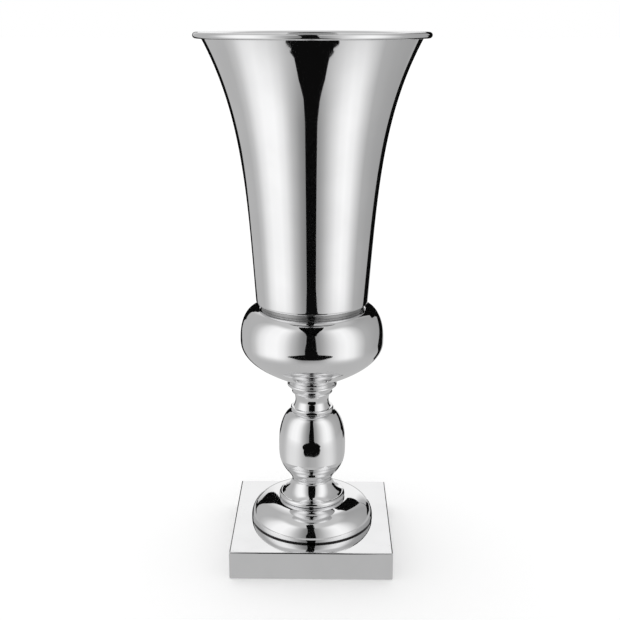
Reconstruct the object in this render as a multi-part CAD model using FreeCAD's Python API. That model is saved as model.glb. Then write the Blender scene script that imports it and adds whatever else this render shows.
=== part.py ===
import FreeCAD, Part
import math
import os

# A trumpet vase in polished metal, lengths in millimetres.
# The origin is the centre of the underside on the resting surface, Z runs up the axis
# and the front of the square plinth faces -Y.

# Heights of the visible pieces, from the resting surface up to the rim.
plinth_top_level = 33.8
dome_height = 27.5
spool_height = 23.2
baluster_height = 89.5
collar_height = 37.5
knop_height = 91.5
groove_height = 4.3
bowl_height = 302.7

dome_base_level = plinth_top_level
spool_base_level = dome_base_level + dome_height
baluster_base_level = spool_base_level + spool_height
collar_base_level = baluster_base_level + baluster_height
knop_base_level = collar_base_level + collar_height
groove_base_level = knop_base_level + knop_height
bowl_base_level = groove_base_level + groove_height
rim_level = bowl_base_level + bowl_height

# Tie rod and the holes it passes through.
rod_radius = 4.0
rod_clearance = 0.6
rod_hole_radius = rod_radius + rod_clearance
rod_chamfer = 0.8
thread_clearance = 0.1
spigot_clearance = 0.2
spigot_length = 4.0

# Trumpet bowl: a spun sheet with a flat floor, a rounded corner, a flaring wall
# and a rim rolled outward round a wire.
bowl_wall = 1.2
bowl_foot_radius = 65.3
bowl_corner_radius = 4.2
rim_radius = 129.3
rim_wire_radius = 1.2
rim_wire_clearance = 0.1
rim_bend_radius = 11.0
rim_bend_start_angle = 27.5
rim_bend_end_angle = 65.0
rim_curl_end_angle = 125.0
flare_straight_share = 0.355
flare_power = 3.75
bowl_wall_spans = 9

# Seat ring in the groove under the bowl.
seat_ring_radius = 60.0
seat_spigot_wall = 5.0

# Knop: a spun hollow bulb with an open top lip and a flat floor.
knop_wall = 1.6
knop_throat_radius = 25.0
knop_radius = 84.0
knop_equator_share = 0.575
knop_lip_radius = 60.0
knop_lip_width = 5.0
knop_shoulder_power = 2.3
knop_underside_power = 1.18
knop_shoulder_spans = 6
knop_underside_spans = 8
spacer_wall = 3.6

# Stem collar: a foot ring, a hollow neck, a small bead and a wide bead.
collar_foot_radius = 25.5
collar_foot_height = 5.0
collar_foot_edge_radius = 1.4
collar_cove_foot_radius = 22.2
collar_neck_radius = 19.9
collar_bead_radius = 23.2
collar_bead_height = 1.8
collar_cove_height = 18.0
collar_rise_height = 6.4
collar_rise_radius = 26.8
collar_wide_bead_radius = 29.4
collar_wide_bead_height = 3.4
collar_spigot_radius = 12.0

# Baluster: a hollow casting, widest a little above its middle.
baluster_wall = 3.0
baluster_end_wall = 4.0
baluster_lip_radius = 23.0
baluster_radius = 39.9
baluster_neck_radius = 24.3
baluster_belly_share = 0.55
baluster_taper_power = 2.0
baluster_shoulder_spans = 6
baluster_taper_spans = 9

# Spool: a flared skirt ending in a step and a wide rounded ring.
spool_flare_foot_radius = 36.5
spool_flare_mid_radius = 28.4
spool_flare_mid_share = 0.58
spool_ring_radius = 40.0
spool_ring_height = 6.5
spool_spigot_radius = 14.0
spool_boss_radius = 9.0
spool_recess_radius = 31.0
spool_recess_depth = 5.0

# Foot dome: a spun cushion with a flat crown and an in-turned hem.
dome_wall = 1.6
dome_radius = 74.0
dome_crown_radius = 38.0
dome_edge_height = 1.6
dome_hem_width = 6.0
dome_power = 2.2
dome_spans = 8

# Plinth: a hollow square casting with four screw bosses, closed by a board.
plinth_side = 189.0
plinth_wall = 3.0
plinth_edge_radius = 1.6
plinth_ground_gap = 0.7
boss_radius = 5.0
boss_inset = 15.0
pilot_radius = 1.6
pilot_depth = 12.0

# Board, screws and felt under the plinth.
felt_thickness = 1.5
felt_inset = 4.0
board_thickness = 4.0
board_clearance = 0.4
board_corner_radius = 2.0
screw_radius = 1.5
screw_length = 13.0
screw_head_radius = 3.4
screw_head_height = 2.0
screw_clearance = 0.3

# Clamping hardware inside the plinth.
clamp_plate_side = 90.0
clamp_plate_thickness = 4.0
clamp_plate_corner_radius = 12.0
washer_radius = 8.0
washer_thickness = 1.6
spring_washer_radius = 7.4
spring_washer_thickness = 2.0
spring_washer_gap = 1.6
nut_sides = 6
nut_across_flats = 13.0
nut_height = 6.5
rod_projection = 3.0

# Cap nut, washer and seal on the floor of the bowl.
seal_radius = 14.0
seal_thickness = 2.0
bowl_washer_radius = 12.0
cap_nut_dome_radius = 6.2
cap_nut_height = 15.0
cap_nut_hex_height = 7.0
cap_nut_bore_depth = 12.0
cap_nut_top_gap = 1.0

plinth_ceiling_level = plinth_top_level - plinth_wall
board_top_level = felt_thickness + board_thickness
clamp_plate_base_level = plinth_ceiling_level - clamp_plate_thickness
lower_washer_base_level = clamp_plate_base_level - washer_thickness
spring_washer_base_level = lower_washer_base_level - spring_washer_thickness
nut_base_level = spring_washer_base_level - nut_height
rod_base_level = nut_base_level - rod_projection
seal_base_level = bowl_base_level + bowl_wall
bowl_washer_base_level = seal_base_level + seal_thickness
cap_nut_base_level = bowl_washer_base_level + washer_thickness
rod_top_level = cap_nut_base_level + cap_nut_bore_depth - cap_nut_top_gap
boss_offset = plinth_side / 2 - boss_inset
boss_places = [(x * boss_offset, y * boss_offset) for x in (-1, 1) for y in (-1, 1)]


def at(radius, level):
    """Point of an outline, in the plane of the axis."""
    return FreeCAD.Vector(radius, 0, level)


def straight(*points):
    """Straight edges joining the points in turn."""
    return [Part.makeLine(a, b) for a, b in zip(points, points[1:])]


def on_circle(centre, radius, angle):
    """Point on a circle of the outline plane, the angle in degrees."""
    turn = math.radians(angle)
    return centre + at(radius * math.cos(turn), radius * math.sin(turn))


def arc(start, middle, end):
    """Arc through three points."""
    return [Part.Arc(start, middle, end).toShape()]


def smooth(points):
    """One smooth curve through the points."""
    curve = Part.BSplineCurve()
    curve.interpolate(points)
    return [curve.toShape()]


def bend(centre, radius, start_angle, end_angle):
    """Arc round a centre between two angles, in degrees."""
    middle_angle = (start_angle + end_angle) / 2
    return arc(on_circle(centre, radius, start_angle), on_circle(centre, radius, middle_angle),
               on_circle(centre, radius, end_angle))


def turned(edges):
    """Solid made by turning a closed outline once round the axis."""
    face = Part.Face(Part.Wire(Part.sortEdges(edges)[0]))
    solid = face.revolve(FreeCAD.Vector(0, 0, 0), FreeCAD.Vector(0, 0, 1), 360)
    return Part.Solid(solid) if solid.ShapeType == "Shell" else solid


def tube(inner_radius, outer_radius, base, height):
    """Plain ring or tube on the axis."""
    bottom = FreeCAD.Vector(0, 0, base)
    return Part.makeCylinder(outer_radius, height, bottom).cut(
        Part.makeCylinder(inner_radius, height, bottom))


def inset(points, distance):
    """Points of a path moved sideways to its left by the distance."""
    moved = []
    for index, point in enumerate(points):
        before = points[max(index - 1, 0)]
        after = points[min(index + 1, len(points) - 1)]
        along = (after - before).normalize()
        moved.append(point + FreeCAD.Vector(-along.z, 0, along.x) * distance)
    return moved


def hexagon(base, height):
    """Six-sided prism of a nut, on the axis."""
    radius = nut_across_flats / 2 / math.cos(math.pi / nut_sides)
    corners = []
    for step in range(nut_sides + 1):
        turn = 2 * math.pi * step / nut_sides
        corners.append(FreeCAD.Vector(radius * math.cos(turn), radius * math.sin(turn), base))
    return Part.Face(Part.makePolygon(corners)).extrude(FreeCAD.Vector(0, 0, height))


def square_slab(side, base, height, corner):
    """Square slab on the axis with rounded upright corners."""
    slab = Part.makeBox(side, side, height, FreeCAD.Vector(-side / 2, -side / 2, base))
    upright = [edge for edge in slab.Edges if abs(edge.tangentAt(edge.FirstParameter).z) > 0.5]
    return slab.makeFillet(corner, upright)


def trumpet_bowl():
    """Bowl floor, corner, flaring wall and rolled rim in one sheet."""
    curl_inner = rim_wire_radius + rim_wire_clearance
    curl_outer = curl_inner + bowl_wall
    wire_centre = at(rim_radius - curl_outer, rim_level - curl_outer)
    wall_angle = 180 - rim_bend_start_angle
    lip_angle = 180 - rim_bend_end_angle
    bend_centre = on_circle(wire_centre, curl_inner - rim_bend_radius, lip_angle)
    wall_top = on_circle(bend_centre, rim_bend_radius, wall_angle)
    wall_base = bowl_base_level + bowl_corner_radius
    flare = wall_top.x - bowl_foot_radius
    outside = []
    for step in range(bowl_wall_spans + 1):
        t = step / bowl_wall_spans
        share = flare_straight_share * t + (1 - flare_straight_share) * t ** flare_power
        outside.append(at(bowl_foot_radius + flare * share, wall_base + (wall_top.z - wall_base) * t))
    inside = inset(outside, bowl_wall)
    inside[0] = at(bowl_foot_radius - bowl_wall, wall_base)
    inside[-1] = on_circle(bend_centre, rim_bend_radius + bowl_wall, wall_angle)
    corner = at(bowl_foot_radius - bowl_corner_radius, wall_base)
    floor_top = bowl_base_level + bowl_wall
    edges = straight(at(rod_hole_radius, bowl_base_level), at(corner.x, bowl_base_level))
    edges += bend(corner, bowl_corner_radius, -90, 0)
    edges += smooth(outside)
    edges += bend(bend_centre, rim_bend_radius, wall_angle, lip_angle)
    edges += bend(wire_centre, curl_inner, lip_angle, -rim_curl_end_angle)
    edges += straight(on_circle(wire_centre, curl_inner, -rim_curl_end_angle),
                      on_circle(wire_centre, curl_outer, -rim_curl_end_angle))
    edges += bend(wire_centre, curl_outer, -rim_curl_end_angle, lip_angle)
    edges += bend(bend_centre, rim_bend_radius + bowl_wall, lip_angle, wall_angle)
    edges += smooth(inside)
    edges += bend(corner, bowl_corner_radius - bowl_wall, 0, -90)
    edges += straight(at(corner.x, floor_top), at(rod_hole_radius, floor_top),
                      at(rod_hole_radius, bowl_base_level))
    return turned(edges)


def rim_wire():
    """Round wire lying in the rolled rim."""
    curl_outer = rim_wire_radius + rim_wire_clearance + bowl_wall
    return Part.makeTorus(rim_radius - curl_outer, rim_wire_radius,
                          FreeCAD.Vector(0, 0, rim_level - curl_outer))


def seat_ring():
    """Disc in the groove, with a spigot that centres the top lip of the knop."""
    spigot_radius = knop_lip_radius - knop_lip_width - spigot_clearance
    disc = tube(rod_hole_radius, seat_ring_radius, groove_base_level, groove_height)
    spigot_base = groove_base_level - spigot_length
    spigot = tube(spigot_radius - seat_spigot_wall, spigot_radius, spigot_base, spigot_length)
    return disc.fuse(spigot).removeSplitter()


def knop_outline():
    """Points of the outside of the knop, from the throat up to the top lip."""
    equator = knop_base_level + knop_height * knop_equator_share
    points = []
    for step in range(knop_underside_spans):
        down = 1 - step / knop_underside_spans
        share = math.cos(math.pi / 2 * down ** knop_underside_power)
        points.append(at(knop_throat_radius + (knop_radius - knop_throat_radius) * share,
                         equator - (equator - knop_base_level) * down))
    for step in range(knop_shoulder_spans + 1):
        turn = math.pi / 2 * step / knop_shoulder_spans
        out = max(math.cos(turn), 0) ** (2 / knop_shoulder_power)
        up = math.sin(turn) ** (2 / knop_shoulder_power)
        points.append(at(knop_lip_radius + (knop_radius - knop_lip_radius) * out,
                         equator + (groove_base_level - equator) * up))
    points[-1] = at(knop_lip_radius, groove_base_level)
    return points


def knop_shell():
    """Hollow bulb with a flat floor and an open top lip."""
    outside = knop_outline()
    inside = inset(outside, knop_wall)
    inside[0] = at(knop_throat_radius - knop_wall, knop_base_level + knop_wall)
    inside[-1] = at(knop_lip_radius, groove_base_level - knop_wall)
    mouth = knop_lip_radius - knop_lip_width
    edges = straight(at(rod_hole_radius, knop_base_level), outside[0])
    edges += smooth(outside)
    edges += straight(outside[-1], at(mouth, groove_base_level), at(mouth, groove_base_level - knop_wall),
                      inside[-1])
    edges += smooth(inside)
    edges += straight(inside[0], at(rod_hole_radius, inside[0].z), at(rod_hole_radius, knop_base_level))
    return turned(edges)


def spacer_tube():
    """Tube round the rod inside the knop, carrying the clamping force."""
    base = knop_base_level + knop_wall
    return tube(rod_hole_radius, rod_hole_radius + spacer_wall, base, groove_base_level - base)


def stem_collar():
    """Turned collar between the baluster and the knop."""
    foot_top = collar_base_level + collar_foot_height
    cove_top = foot_top + collar_cove_height
    bead_top = cove_top + collar_bead_height
    rise_top = bead_top + collar_rise_height
    wide_top = rise_top + collar_wide_bead_height
    edge = collar_foot_edge_radius
    edge_start = collar_foot_radius - edge
    bead_half = collar_bead_height / 2
    wide_half = collar_wide_bead_height / 2
    wide_start = collar_wide_bead_radius - wide_half
    spigot_base = collar_base_level - spigot_length
    edges = straight(at(rod_hole_radius, spigot_base), at(collar_spigot_radius, spigot_base),
                     at(collar_spigot_radius, collar_base_level), at(edge_start, collar_base_level))
    edges += bend(at(edge_start, collar_base_level + edge), edge, -90, 0)
    edges += straight(at(collar_foot_radius, collar_base_level + edge),
                      at(collar_foot_radius, foot_top - edge))
    edges += bend(at(edge_start, foot_top - edge), edge, 0, 90)
    edges += straight(at(edge_start, foot_top), at(collar_cove_foot_radius, foot_top))
    edges += arc(at(collar_cove_foot_radius, foot_top),
                 at(collar_neck_radius, foot_top + collar_cove_height / 2),
                 at(collar_cove_foot_radius, cove_top))
    edges += straight(at(collar_cove_foot_radius, cove_top), at(collar_bead_radius, cove_top))
    edges += bend(at(collar_bead_radius, cove_top + bead_half), bead_half, -90, 90)
    edges += straight(at(collar_bead_radius, bead_top), at(collar_rise_radius, rise_top),
                      at(wide_start, rise_top))
    edges += bend(at(wide_start, rise_top + wide_half), wide_half, -90, 90)
    edges += straight(at(wide_start, wide_top), at(knop_throat_radius, knop_base_level),
                      at(rod_hole_radius, knop_base_level), at(rod_hole_radius, spigot_base))
    return turned(edges)


def baluster_radius_at(level):
    """Outside radius of the baluster at a level."""
    belly = baluster_base_level + baluster_height * baluster_belly_share
    if level > belly:
        up = (level - belly) / (collar_base_level - belly)
        return baluster_lip_radius + (baluster_radius - baluster_lip_radius) * math.sqrt(max(1 - up * up, 0))
    down = (belly - level) / (belly - baluster_base_level)
    share = (1 + math.cos(math.pi * down ** baluster_taper_power)) / 2
    return baluster_neck_radius + (baluster_radius - baluster_neck_radius) * share


def baluster_levels(base, top):
    """Levels at which the outline is drawn, closer together toward the top."""
    belly = baluster_base_level + baluster_height * baluster_belly_share
    levels = [base + (belly - base) * step / baluster_taper_spans for step in range(baluster_taper_spans)]
    for step in range(baluster_shoulder_spans + 1):
        levels.append(belly + (top - belly) * math.sin(math.pi / 2 * step / baluster_shoulder_spans))
    return levels


def baluster():
    """Hollow baluster, open below for the spool and above for the collar."""
    outside = [at(baluster_radius_at(z), z) for z in baluster_levels(baluster_base_level, collar_base_level)]
    hollow_base = baluster_base_level + baluster_end_wall
    hollow_top = collar_base_level - baluster_end_wall
    inside = [at(baluster_radius_at(z) - baluster_wall, z) for z in baluster_levels(hollow_base, hollow_top)]
    lower_bore = spool_spigot_radius + spigot_clearance
    upper_bore = collar_spigot_radius + spigot_clearance
    edges = straight(at(lower_bore, baluster_base_level), outside[0])
    edges += smooth(outside)
    edges += straight(outside[-1], at(upper_bore, collar_base_level), at(upper_bore, hollow_top), inside[-1])
    edges += smooth(inside)
    edges += straight(inside[0], at(lower_bore, hollow_base), at(lower_bore, baluster_base_level))
    return turned(edges)


def stem_spool():
    """Flared spool with a wide ring at its foot, hollowed underneath."""
    ring_top = spool_base_level + spool_ring_height
    half = spool_ring_height / 2
    ring_start = spool_ring_radius - half
    flare_mid = ring_top + (baluster_base_level - ring_top) * (1 - spool_flare_mid_share)
    spigot_top = baluster_base_level + spigot_length
    recess_top = spool_base_level + spool_recess_depth
    edges = straight(at(spool_recess_radius, spool_base_level), at(ring_start, spool_base_level))
    edges += bend(at(ring_start, spool_base_level + half), half, -90, 90)
    edges += straight(at(ring_start, ring_top), at(spool_flare_foot_radius, ring_top))
    edges += arc(at(spool_flare_foot_radius, ring_top), at(spool_flare_mid_radius, flare_mid),
                 at(baluster_neck_radius, baluster_base_level))
    edges += straight(at(baluster_neck_radius, baluster_base_level),
                      at(spool_spigot_radius, baluster_base_level), at(spool_spigot_radius, spigot_top),
                      at(rod_hole_radius, spigot_top), at(rod_hole_radius, spool_base_level),
                      at(spool_boss_radius, spool_base_level), at(spool_boss_radius, recess_top),
                      at(spool_recess_radius, recess_top), at(spool_recess_radius, spool_base_level))
    return turned(edges)


def foot_dome():
    """Spun cushion-shaped foot."""
    edge_top = dome_base_level + dome_edge_height
    outside = []
    for step in range(dome_spans + 1):
        turn = math.pi / 2 * step / dome_spans
        out = max(math.cos(turn), 0) ** (2 / dome_power)
        up = math.sin(turn) ** (2 / dome_power)
        outside.append(at(dome_crown_radius + (dome_radius - dome_crown_radius) * out,
                          edge_top + (spool_base_level - edge_top) * up))
    outside[-1] = at(dome_crown_radius, spool_base_level)
    inside = inset(outside, dome_wall)
    inside[0] = at(dome_radius - dome_wall, edge_top)
    inside[-1] = at(dome_crown_radius, spool_base_level - dome_wall)
    hem = dome_radius - dome_hem_width
    edges = straight(at(hem, dome_base_level), at(dome_radius, dome_base_level), outside[0])
    edges += smooth(outside)
    edges += straight(outside[-1], at(rod_hole_radius, spool_base_level), at(rod_hole_radius, inside[-1].z),
                      inside[-1])
    edges += smooth(inside)
    edges += straight(inside[0], at(hem, edge_top), at(hem, dome_base_level))
    return turned(edges)


def plinth_shell():
    """Hollow square plinth, open below, with four screw bosses."""
    height = plinth_top_level - plinth_ground_gap
    block = Part.makeBox(plinth_side, plinth_side, height,
                         FreeCAD.Vector(-plinth_side / 2, -plinth_side / 2, plinth_ground_gap))
    outer_edges = [edge for edge in block.Edges if edge.CenterOfMass.z > plinth_ground_gap]
    block = block.makeFillet(plinth_edge_radius, outer_edges)
    room = plinth_side - 2 * plinth_wall
    hollow = square_slab(room, plinth_ground_gap, height - plinth_wall, board_corner_radius)
    ceiling = FreeCAD.Vector(0, 0, plinth_ceiling_level)
    shell = block.cut(hollow).cut(Part.makeCylinder(rod_hole_radius, plinth_wall, ceiling))
    for x, y in boss_places:
        foot = FreeCAD.Vector(x, y, board_top_level)
        shell = shell.fuse(Part.makeCylinder(boss_radius, plinth_ceiling_level - board_top_level, foot))
        shell = shell.cut(Part.makeCylinder(pilot_radius, pilot_depth, foot))
    return shell.removeSplitter()


def clamp_plate():
    """Plate that spreads the pull of the rod under the plinth top."""
    plate = square_slab(clamp_plate_side, clamp_plate_base_level, clamp_plate_thickness,
                        clamp_plate_corner_radius)
    return plate.cut(Part.makeCylinder(rod_hole_radius, clamp_plate_thickness,
                                       FreeCAD.Vector(0, 0, clamp_plate_base_level)))


def tie_rod():
    """Rod from the nut in the plinth to the cap nut in the bowl."""
    rod = Part.makeCylinder(rod_radius, rod_top_level - rod_base_level, FreeCAD.Vector(0, 0, rod_base_level))
    ends = [edge for edge in rod.Edges if edge.Closed]
    return rod.makeChamfer(rod_chamfer, ends)


def spring_washer():
    """Ring washer with a slit."""
    ring = tube(rod_hole_radius, spring_washer_radius, spring_washer_base_level, spring_washer_thickness)
    slit = Part.makeBox(spring_washer_radius, spring_washer_gap, spring_washer_thickness,
                        FreeCAD.Vector(0, -spring_washer_gap / 2, spring_washer_base_level))
    return ring.cut(slit)


def hex_nut():
    """Nut on the lower end of the rod."""
    nut = hexagon(nut_base_level, nut_height)
    return nut.cut(Part.makeCylinder(rod_radius + thread_clearance, nut_height,
                                     FreeCAD.Vector(0, 0, nut_base_level)))


def cap_nut():
    """Domed nut with a blind bore."""
    hexed = hexagon(cap_nut_base_level, cap_nut_hex_height)
    straight_height = cap_nut_height - cap_nut_dome_radius
    neck = Part.makeCylinder(cap_nut_dome_radius, straight_height, FreeCAD.Vector(0, 0, cap_nut_base_level))
    ball = Part.makeSphere(cap_nut_dome_radius, FreeCAD.Vector(0, 0, cap_nut_base_level + straight_height))
    bore = Part.makeCylinder(rod_radius + thread_clearance, cap_nut_bore_depth,
                             FreeCAD.Vector(0, 0, cap_nut_base_level))
    return hexed.fuse(neck).fuse(ball).cut(bore).removeSplitter()


def screw_outline(clearance):
    """Outline of a countersunk screw, grown by the clearance for its hole."""
    shank = screw_radius + clearance
    head = screw_head_radius + clearance
    return straight(at(0, 0), at(head, 0), at(shank, screw_head_height), at(shank, screw_length),
                    at(0, screw_length), at(0, 0))


def board_screws():
    """Four countersunk screws, heads flush with the underside of the board."""
    screw = turned(screw_outline(0))
    copies = [screw.translated(FreeCAD.Vector(x, y, felt_thickness)) for x, y in boss_places]
    return Part.makeCompound(copies)


def base_board():
    """Board that closes the plinth."""
    side = plinth_side - 2 * (plinth_wall + board_clearance)
    board = square_slab(side, felt_thickness, board_thickness, board_corner_radius)
    hole = turned(screw_outline(screw_clearance))
    for x, y in boss_places:
        board = board.cut(hole.translated(FreeCAD.Vector(x, y, felt_thickness)))
    return board


def felt_pad():
    """Felt sheet the vase stands on."""
    side = plinth_side - 2 * (plinth_wall + board_clearance + felt_inset)
    return square_slab(side, 0, felt_thickness, board_corner_radius)


nodes = {
    "trumpet_bowl": trumpet_bowl(),
    "rim_wire": rim_wire(),
    "seat_ring": seat_ring(),
    "knop_shell": knop_shell(),
    "spacer_tube": spacer_tube(),
    "stem_collar": stem_collar(),
    "baluster": baluster(),
    "stem_spool": stem_spool(),
    "foot_dome": foot_dome(),
    "plinth_shell": plinth_shell(),
    "clamp_plate": clamp_plate(),
    "tie_rod": tie_rod(),
    "lower_washer": tube(rod_hole_radius, washer_radius, lower_washer_base_level, washer_thickness),
    "spring_washer": spring_washer(),
    "hex_nut": hex_nut(),
    "bowl_seal": tube(rod_hole_radius, seal_radius, seal_base_level, seal_thickness),
    "bowl_washer": tube(rod_hole_radius, bowl_washer_radius, bowl_washer_base_level, washer_thickness),
    "cap_nut": cap_nut(),
    "base_board": base_board(),
    "board_screws": board_screws(),
    "felt_pad": felt_pad(),
}

os.makedirs("parts", exist_ok=True)
for name, shape in nodes.items():
    shape.exportStep("parts/" + name + ".step")
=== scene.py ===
"""Looks of a mirror-polished trumpet vase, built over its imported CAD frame.

Every length is in metres. The vase stands on the floor at height zero, its axis is the
Z axis and the front of its square plinth faces -Y.
"""

import logging
import math
from collections.abc import Callable
from dataclasses import dataclass, replace
from enum import Enum
from functools import cache, partial
from typing import ClassVar

import bpy
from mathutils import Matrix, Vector

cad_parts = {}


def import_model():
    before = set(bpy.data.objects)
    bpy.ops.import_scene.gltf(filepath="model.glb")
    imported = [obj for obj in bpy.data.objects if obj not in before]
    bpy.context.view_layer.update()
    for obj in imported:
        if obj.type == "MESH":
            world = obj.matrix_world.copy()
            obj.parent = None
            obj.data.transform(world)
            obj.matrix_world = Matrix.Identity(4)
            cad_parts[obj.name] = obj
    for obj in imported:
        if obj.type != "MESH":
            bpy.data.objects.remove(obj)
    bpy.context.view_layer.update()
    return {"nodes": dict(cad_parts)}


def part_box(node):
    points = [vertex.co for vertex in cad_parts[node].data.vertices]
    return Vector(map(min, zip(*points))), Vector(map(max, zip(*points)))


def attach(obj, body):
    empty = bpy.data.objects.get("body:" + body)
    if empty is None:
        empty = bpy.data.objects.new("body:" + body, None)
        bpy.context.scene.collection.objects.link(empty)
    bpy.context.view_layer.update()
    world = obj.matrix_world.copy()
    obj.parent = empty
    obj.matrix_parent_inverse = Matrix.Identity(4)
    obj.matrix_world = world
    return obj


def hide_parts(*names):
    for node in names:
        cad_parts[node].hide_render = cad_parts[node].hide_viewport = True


LOG = logging.getLogger("trumpet_vase")
PHOTO_SIZE = 620
SENSOR_WIDTH = 36.0
SAME_PLACE = 1e-6
SMOOTH_ANGLE = math.radians(28.0)
FULL_TURN = 360.0
FACES_DOWN = -0.5  # a face looks down where its normal's Z is below this
ROUNDING_LIMIT = 2.5  # a rounding takes up at most an edge's length over this

Point = tuple[float, float]
Outline = list[Point]
Row = tuple[float, float, float]
Colour = tuple[float, float, float]
Nodes = tuple[str, ...]
Socket = bpy.types.NodeSocket
Value = Socket | float | tuple[float, ...]
Inputs = dict[str | int, Value]


class Slot(Enum):
    """Material slot names that the pieces carry; their finishes come from their own finish field."""

    MIRROR_METAL = "mirror_metal"
    BRIGHT_STEEL = "bright_steel"
    BLACK_RUBBER = "black_rubber"


# Shader building


def rgba(colour: Colour | float) -> tuple[float, ...]:
    """Red, green, blue and full alpha of a colour or of one grey."""
    return (*(colour if isinstance(colour, tuple) else (colour,) * 3), 1.0)


@dataclass
class ShaderGraph:
    """Adds and links nodes in the tree of a material, a world or a node group."""

    tree: bpy.types.NodeTree

    def node(self, kind: str, inputs: Inputs | None = None, **settings: object) -> bpy.types.Node:
        """Adds one node.

        Args:
            kind: Blender's type name of the node.
            inputs: Socket name or number to a value, or to a socket to link from.
            **settings: Attributes of the node.

        Returns:
            The new node.
        """
        made = self.tree.nodes.new(kind)
        for name, value in settings.items():
            setattr(made, name, value)
        self.feed(made, inputs or {})
        return made

    def feed(self, node: bpy.types.Node, inputs: Inputs) -> None:
        """Sets or links inputs of a node.

        Args:
            node: The node.
            inputs: Socket name or number to a value, or to a socket to link from.
        """
        for socket, value in inputs.items():
            if isinstance(value, Socket):
                self.tree.links.new(value, node.inputs[socket])
            else:
                node.inputs[socket].default_value = value

    def maths(self, operation: str, first: Value, second: Value = 0.0) -> Socket:
        """Result of a Math node's operation on two values or sockets."""
        return self.node("ShaderNodeMath", {0: first, 1: second}, operation=operation).outputs[0]

    def remap(self, value: Socket, source: Point, target: Point = (0.0, 1.0)) -> Socket:
        """Smoothly maps a value from one range to another.

        Args:
            value: Value to map.
            source: Lowest and highest value read.
            target: Results at these two values.

        Returns:
            The mapped value.
        """
        inputs = {"Value": value, "From Min": source[0], "From Max": source[1],
                  "To Min": target[0], "To Max": target[1]}
        return self.node("ShaderNodeMapRange", inputs, interpolation_type="SMOOTHSTEP").outputs["Result"]

    def blend(self, share: Value, first: Value, second: Value) -> Socket:
        """Mixes two colours: the first where the share is 0, the second where it is 1."""
        return self.node("ShaderNodeMix", {0: share, 6: first, 7: second}, data_type="RGBA").outputs[2]

    def texture(self, kind: str, output: str, **inputs: Value) -> Socket:
        """One output of a texture, of Blender's type name, in the object's own space."""
        place = self.node("ShaderNodeTexCoord").outputs["Object"]
        return self.node(kind, {"Vector": place, **inputs}).outputs[output]

    def split(self, vector: Socket | None = None) -> list[Socket]:
        """X, Y and Z of a vector, or of the shaded place in the object's own space."""
        vector = vector or self.node("ShaderNodeTexCoord").outputs["Object"]
        return list(self.node("ShaderNodeSeparateXYZ", {0: vector}).outputs)


def shared_group(name: str, inputs: Nodes, outputs: dict[str, str]) -> tuple[bpy.types.NodeTree, bool]:
    """Node group that several materials share.

    Args:
        name: Name of the group.
        inputs: Names of its inputs, all plain numbers.
        outputs: Name of each output to Blender's type name of its socket.

    Returns:
        The group, and whether it is new and has no nodes yet.
    """
    if name in bpy.data.node_groups:
        return bpy.data.node_groups[name], False
    group = bpy.data.node_groups.new(name, "ShaderNodeTree")
    for socket in inputs:
        group.interface.new_socket(socket, in_out="INPUT", socket_type="NodeSocketFloat")
    for socket, kind in outputs.items():
        group.interface.new_socket(socket, in_out="OUTPUT", socket_type=kind)
    return group, True


@dataclass(frozen=True)
class Finish:
    """A finish whose material is made once and then shared."""

    name: str

    def material(self) -> bpy.types.Material:
        """Makes the material on the first call.

        Returns:
            The material.
        """
        if self.name in bpy.data.materials:
            return bpy.data.materials[self.name]
        material = bpy.data.materials.new(self.name)
        material.use_nodes = True
        graph = ShaderGraph(material.node_tree)
        graph.feed(material.node_tree.nodes["Principled BSDF"], self.inputs(graph))
        return material

    def inputs(self, graph: ShaderGraph) -> Inputs:
        """Adds the finish's nodes and says what the material's Principled shader gets."""
        raise NotImplementedError


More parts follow.
